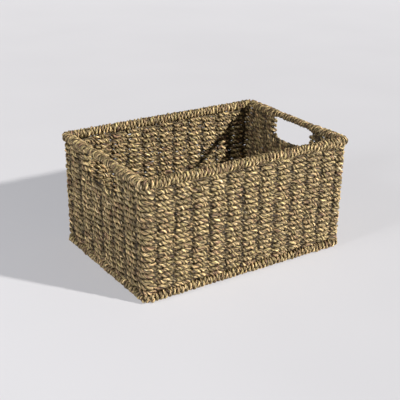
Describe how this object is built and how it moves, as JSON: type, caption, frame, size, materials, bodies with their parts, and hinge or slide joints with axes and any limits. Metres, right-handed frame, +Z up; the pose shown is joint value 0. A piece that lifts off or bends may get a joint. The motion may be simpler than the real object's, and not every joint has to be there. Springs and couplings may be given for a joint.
{
  "type": "storage basket",
  "caption": "Rectangular woven seagrass storage basket with upright walls on a wire cage, wrapped rim and base borders, and a hand hole under the rim in each end wall.",
  "frame": {"origin": "middle of the base, on the surface that the basket stands on", "axes": "+X along the long side towards the right end wall, +Y towards the back wall, +Z up"},
  "size_m": [0.352, 0.244, 0.178],
  "materials": {
    "seagrass_weave": "matt twisted plant fibre",
    "seagrass_border": "matt twisted plant fibre, wound close",
    "cage_wire": "dark brown satin coating"
  },
  "bodies": {
    "root": {"rim_wire": "cage_wire", "base_wire": "cage_wire", "front_left_corner_post": "cage_wire", "back_left_corner_post": "cage_wire", "left_sill_wire": "cage_wire", "front_right_corner_post": "cage_wire", "back_right_corner_post": "cage_wire", "right_sill_wire": "cage_wire", "cross_stake_1": "cage_wire", "cross_stake_2": "cage_wire", "cross_stake_3": "cage_wire", "cross_stake_4": "cage_wire", "cross_stake_5": "cage_wire", "cross_stake_6": "cage_wire", "cross_stake_7": "cage_wire", "cross_stake_8": "cage_wire", "cross_stake_9": "cage_wire", "cross_stake_10": "cage_wire", "cross_stake_11": "cage_wire", "long_stake_1": "cage_wire", "long_stake_2": "cage_wire", "long_stake_3": "cage_wire", "long_stake_4": "cage_wire", "long_stake_5": "cage_wire", "long_stake_6": "cage_wire", "front_wall_weave": "seagrass_weave", "back_wall_weave": "seagrass_weave", "left_wall_weave": "seagrass_weave", "right_wall_weave": "seagrass_weave", "base_weave": "seagrass_weave", "front_left_shoulder_weave": "seagrass_weave", "back_left_shoulder_weave": "seagrass_weave", "front_right_shoulder_weave": "seagrass_weave", "back_right_shoulder_weave": "seagrass_weave", "base_border": "seagrass_border", "front_rim_border": "seagrass_border", "back_rim_border": "seagrass_border", "left_handle_wrap": "seagrass_border", "right_handle_wrap": "seagrass_border"}
  },
  "joints": []
}
